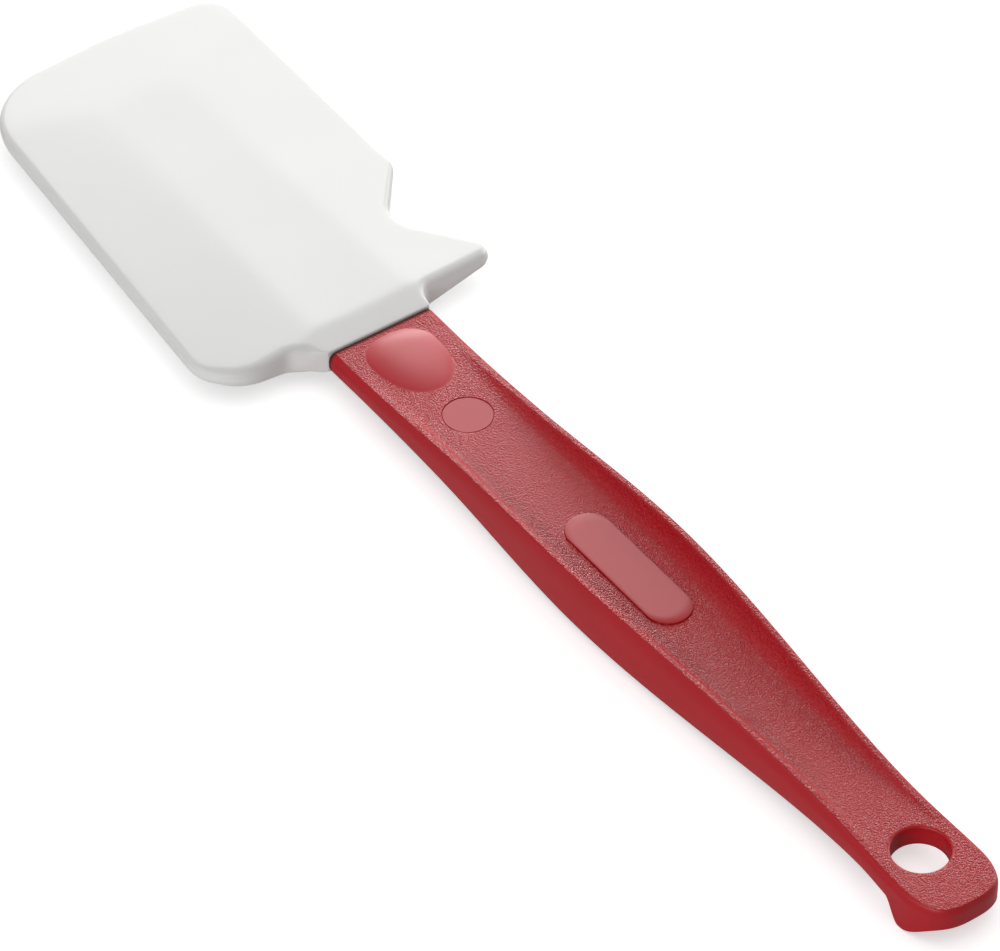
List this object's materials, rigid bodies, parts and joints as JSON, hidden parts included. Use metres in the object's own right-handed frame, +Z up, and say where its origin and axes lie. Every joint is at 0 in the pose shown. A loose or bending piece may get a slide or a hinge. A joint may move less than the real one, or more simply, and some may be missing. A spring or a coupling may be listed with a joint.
{
  "type": "bowl scraper",
  "caption": "Bowl scraper: a flexible white blade with a rim notch, moulded round the tang of a dished red handle that ends in a hanging hole.",
  "frame": {"origin": "centre of the hanging hole, half way through its wall", "axes": "+X from the blade to the end of the handle, +Y to the notched side of the blade, +Z up when the scraper lies on a counter"},
  "size_m": [0.3426, 0.0783, 0.0155],
  "materials": {
    "moulded_nylon": "red moulded nylon with a fine leather-like grain on top and satin sides",
    "silicone": "white moulded silicone, satin"
  },
  "bodies": {
    "root": {"handle": "moulded_nylon", "blade": "silicone"}
  },
  "joints": []
}
